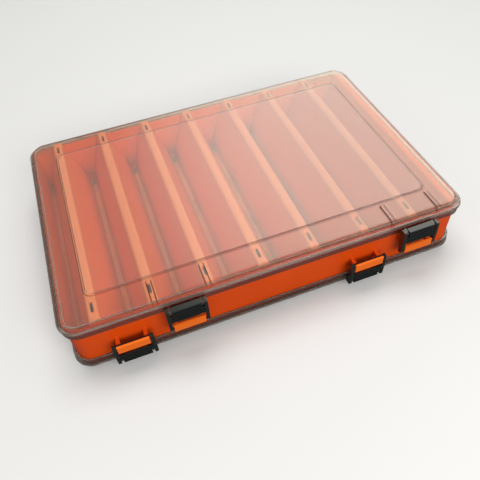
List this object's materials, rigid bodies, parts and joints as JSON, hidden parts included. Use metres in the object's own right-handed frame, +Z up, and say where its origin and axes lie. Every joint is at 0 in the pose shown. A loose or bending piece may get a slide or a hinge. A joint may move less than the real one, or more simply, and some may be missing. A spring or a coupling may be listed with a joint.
{
  "type": "lure box",
  "caption": "Double-sided tackle box: wavy orange tray with slanted compartments, clear hinged lids above and below, black snap latches on pins.",
  "frame": {"origin": "on the plane the closed box lies on, under its middle", "axes": "+X along the box's length to the viewer's right, +Y towards the hinges, -Y towards the latches, +Z up through the top lid"},
  "size_m": [0.27, 0.1934, 0.047],
  "materials": {
    "orange_plastic": "satin moulded polypropylene, opaque orange",
    "clear_plastic": "clear moulded plastic with a faint smoke tint",
    "black_plastic": "satin moulded plastic",
    "steel": "drawn wire"
  },
  "bodies": {
    "tray": {"tray_wall": "orange_plastic", "divider_sheet": "orange_plastic", "top_hinge_pin_left": "steel", "top_hinge_pin_right": "steel", "bottom_hinge_pin_left": "steel", "bottom_hinge_pin_right": "steel"},
    "top_lid": {"top_lid": "clear_plastic", "top_latch_pin_left": "steel", "top_latch_pin_right": "steel"},
    "bottom_lid": {"bottom_lid": "clear_plastic", "bottom_latch_pin_left": "steel", "bottom_latch_pin_right": "steel"},
    "top_latch_left": {"top_latch_left": "black_plastic"},
    "top_latch_right": {"top_latch_right": "black_plastic"},
    "bottom_latch_left": {"bottom_latch_left": "black_plastic"},
    "bottom_latch_right": {"bottom_latch_right": "black_plastic"}
  },
  "joints": [
    {"name": "top_lid_hinge", "type": "hinge", "parent": "tray", "child": "top_lid", "pos_m": [0, 0.0939, 0.0367], "axis": [-1, 0, 0], "range_deg": [0, 180]},
    {"name": "bottom_lid_hinge", "type": "hinge", "parent": "tray", "child": "bottom_lid", "pos_m": [0, 0.0939, 0.0103], "axis": [1, 0, 0], "range_deg": [0, 180]},
    {"name": "top_latch_left_hinge", "type": "hinge", "parent": "top_lid", "child": "top_latch_left", "pos_m": [-0.0612, -0.0934, 0.0389], "axis": [-1, 0, 0], "range_deg": [0, 110]},
    {"name": "top_latch_right_hinge", "type": "hinge", "parent": "top_lid", "child": "top_latch_right", "pos_m": [0.097, -0.0934, 0.0389], "axis": [-1, 0, 0], "range_deg": [0, 110]},
    {"name": "bottom_latch_left_hinge", "type": "hinge", "parent": "bottom_lid", "child": "bottom_latch_left", "pos_m": [-0.097, -0.0934, 0.0081], "axis": [1, 0, 0], "range_deg": [0, 110]},
    {"name": "bottom_latch_right_hinge", "type": "hinge", "parent": "bottom_lid", "child": "bottom_latch_right", "pos_m": [0.0612, -0.0934, 0.0081], "axis": [1, 0, 0], "range_deg": [0, 110]}
  ]
}
